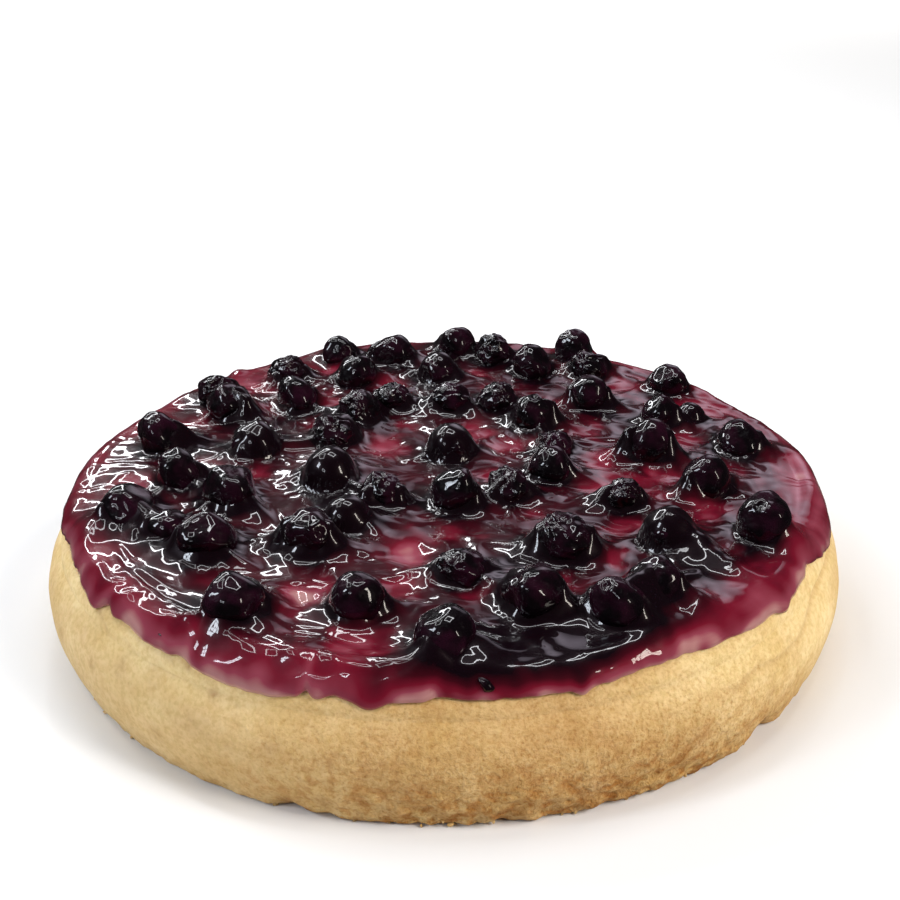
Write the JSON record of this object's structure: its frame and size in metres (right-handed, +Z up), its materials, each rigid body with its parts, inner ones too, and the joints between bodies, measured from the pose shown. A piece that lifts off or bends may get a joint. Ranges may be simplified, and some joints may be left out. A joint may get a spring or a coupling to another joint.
{
  "type": "blueberry cake",
  "caption": "Round uncut cake with a bulging cream-coloured side, a glossy dark fruit glaze over its top and whole cooked berries set in the glaze.",
  "frame": {"origin": "centre of the flat base that the cake rests on", "axes": "+Z up through the cake, -Y to the front, +X to the right seen from the front"},
  "size_m": [0.2305, 0.2336, 0.0506],
  "materials": {
    "cake": "soft, finely porous crumb, cream to golden brown",
    "glaze": "very glossy set fruit gel, wine red where thin and nearly black where thick",
    "berry": "glossy wet berry skin, nearly black plum"
  },
  "bodies": {
    "root": {"cake_body": "cake", "glaze": "glaze", "berry_01": "berry", "berry_02": "berry", "berry_03": "berry", "berry_04": "berry", "berry_05": "berry", "berry_06": "berry", "berry_07": "berry", "berry_08": "berry", "berry_09": "berry", "berry_10": "berry", "berry_11": "berry", "berry_12": "berry", "berry_13": "berry", "berry_14": "berry", "berry_15": "berry", "berry_16": "berry", "berry_17": "berry", "berry_18": "berry", "berry_19": "berry", "berry_20": "berry", "berry_21": "berry", "berry_22": "berry", "berry_23": "berry", "berry_24": "berry", "berry_25": "berry", "berry_26": "berry", "berry_27": "berry", "berry_28": "berry", "berry_29": "berry", "berry_30": "berry", "berry_31": "berry", "berry_32": "berry", "berry_33": "berry", "berry_34": "berry", "berry_35": "berry", "berry_36": "berry", "berry_37": "berry", "berry_38": "berry", "berry_39": "berry", "berry_40": "berry", "berry_41": "berry", "berry_42": "berry", "berry_43": "berry", "berry_44": "berry", "berry_45": "berry", "berry_46": "berry", "berry_47": "berry", "berry_48": "berry", "berry_49": "berry", "berry_50": "berry", "berry_51": "berry", "berry_52": "berry", "berry_53": "berry"}
  },
  "joints": []
}
